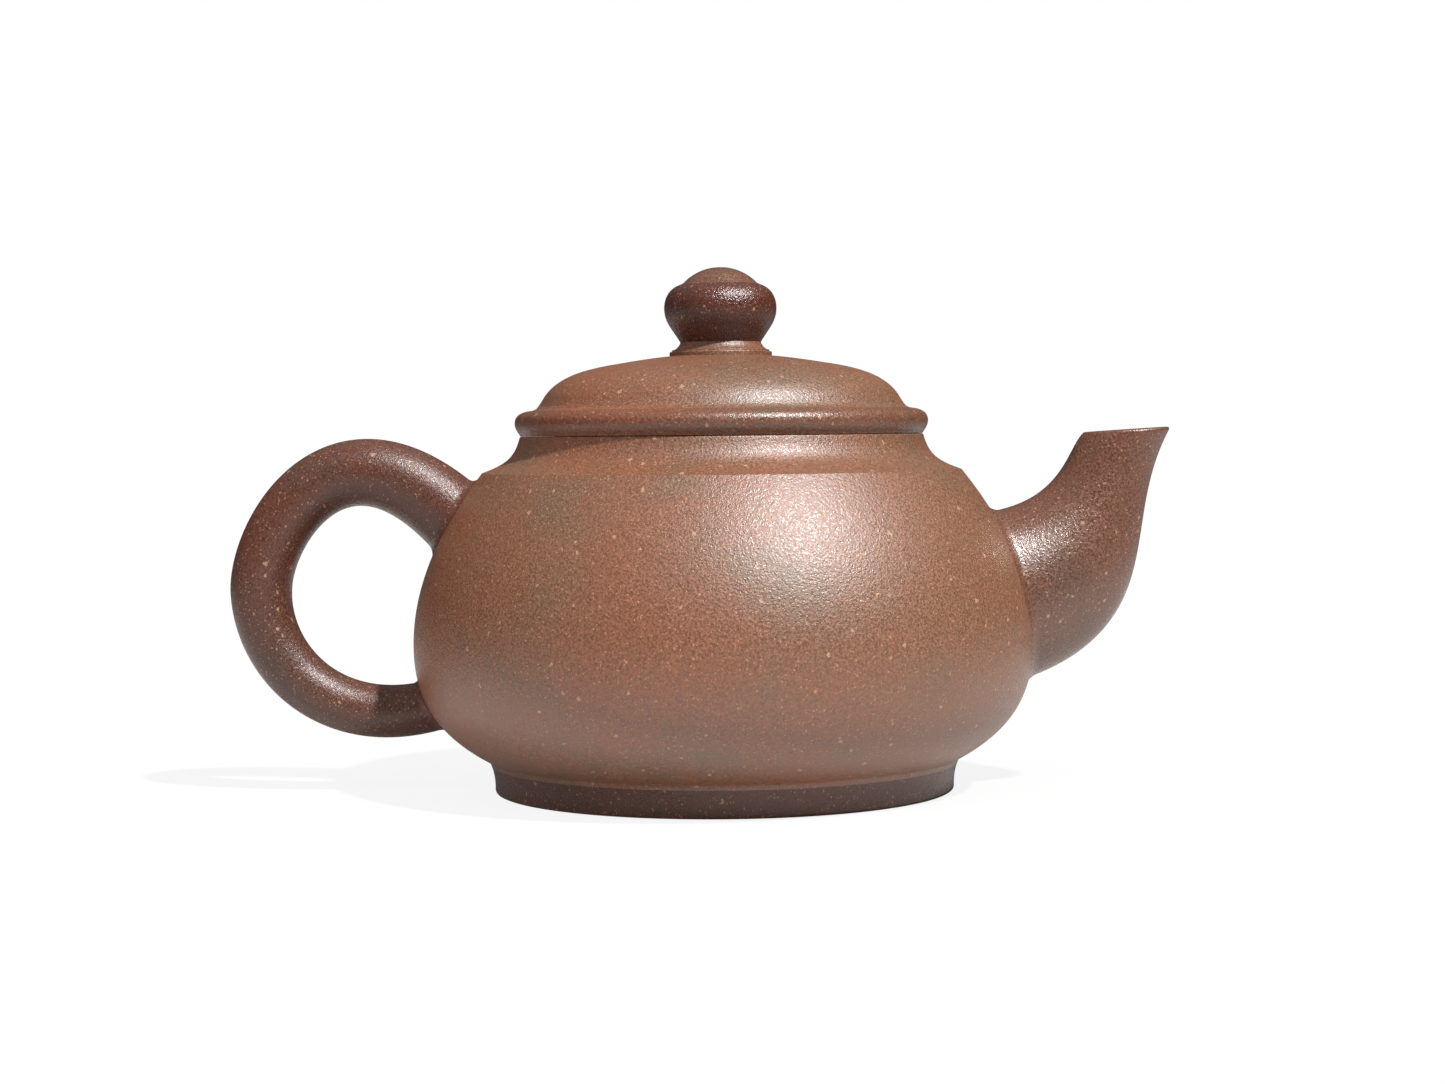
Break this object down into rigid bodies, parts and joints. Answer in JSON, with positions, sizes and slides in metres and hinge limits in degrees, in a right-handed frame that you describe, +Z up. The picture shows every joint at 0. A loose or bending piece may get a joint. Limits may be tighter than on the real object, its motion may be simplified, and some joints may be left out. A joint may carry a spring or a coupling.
{
  "type": "teapot",
  "caption": "Round unglazed clay teapot with a loose domed lid, a short curved spout with a strainer inside, and a ring handle.",
  "frame": {"origin": "on the pot's axis at the plane it stands on", "axes": "+Z up along the pot's axis, +X towards the spout, the handle at -X"},
  "size_m": [0.1509, 0.099, 0.0833],
  "materials": {
    "belly_clay": "unglazed, fine-grained, satin",
    "lid_clay": "unglazed, fine-grained, satin",
    "trim_clay": "unglazed, fine-grained, satin",
    "inner_clay": "unglazed, fine-grained, matte"
  },
  "bodies": {
    "pot": {"belly_wall": "belly_clay", "floor_disc": "inner_clay", "foot_ring": "belly_clay", "shoulder_sheet": "belly_clay", "neck_ring": "belly_clay", "spout": "trim_clay", "strainer": "inner_clay", "handle": "trim_clay"},
    "lid": {"lid_plate": "lid_clay", "lid_flange": "lid_clay", "lid_dome": "lid_clay", "knob_collar": "trim_clay", "knob": "trim_clay", "knob_cap": "trim_clay"}
  },
  "joints": [
    {"name": "lid_lift", "type": "slide", "parent": "pot", "child": "lid", "axis": [0, 0, 1], "range_m": [0, 0.07]}
  ]
}
